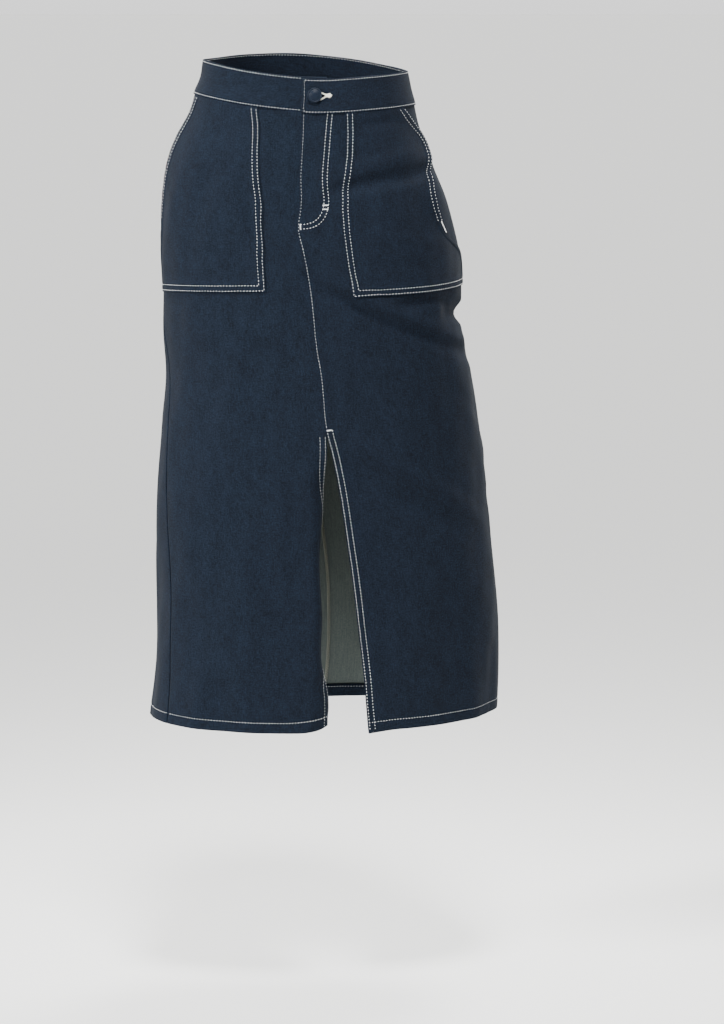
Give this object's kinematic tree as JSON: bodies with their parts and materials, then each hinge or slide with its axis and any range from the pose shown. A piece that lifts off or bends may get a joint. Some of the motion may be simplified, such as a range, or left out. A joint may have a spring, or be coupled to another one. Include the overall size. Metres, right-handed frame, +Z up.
{
  "type": "denim skirt",
  "caption": "Midi denim skirt, hollow as worn: wound waistband with a shank button, zip fly, patch pockets with slanted mouths, and an open walking slit up the centre front.",
  "frame": {"origin": "middle of the waistband's ring, at half the band's height, where the wearer's waist holds it", "axes": "+Z up, the skirt's front faces -Y, +X to the wearer's left"},
  "size_m": [0.4318, 0.2594, 0.818],
  "materials": {
    "denim": "dark indigo cotton twill, matt",
    "thread": "off-white topstitching thread",
    "button": "dark navy, domed, semi-gloss",
    "zip_tape": "navy woven zip tape",
    "zip_metal": "antique brass zip chain and slider"
  },
  "bodies": {
    "root": {"front_right": "denim", "front_left": "denim", "back_right": "denim", "back_left": "denim", "waistband": "denim", "pocket_right": "denim", "pocket_left": "denim", "button": "button", "zip": "zip_tape"}
  },
  "joints": []
}
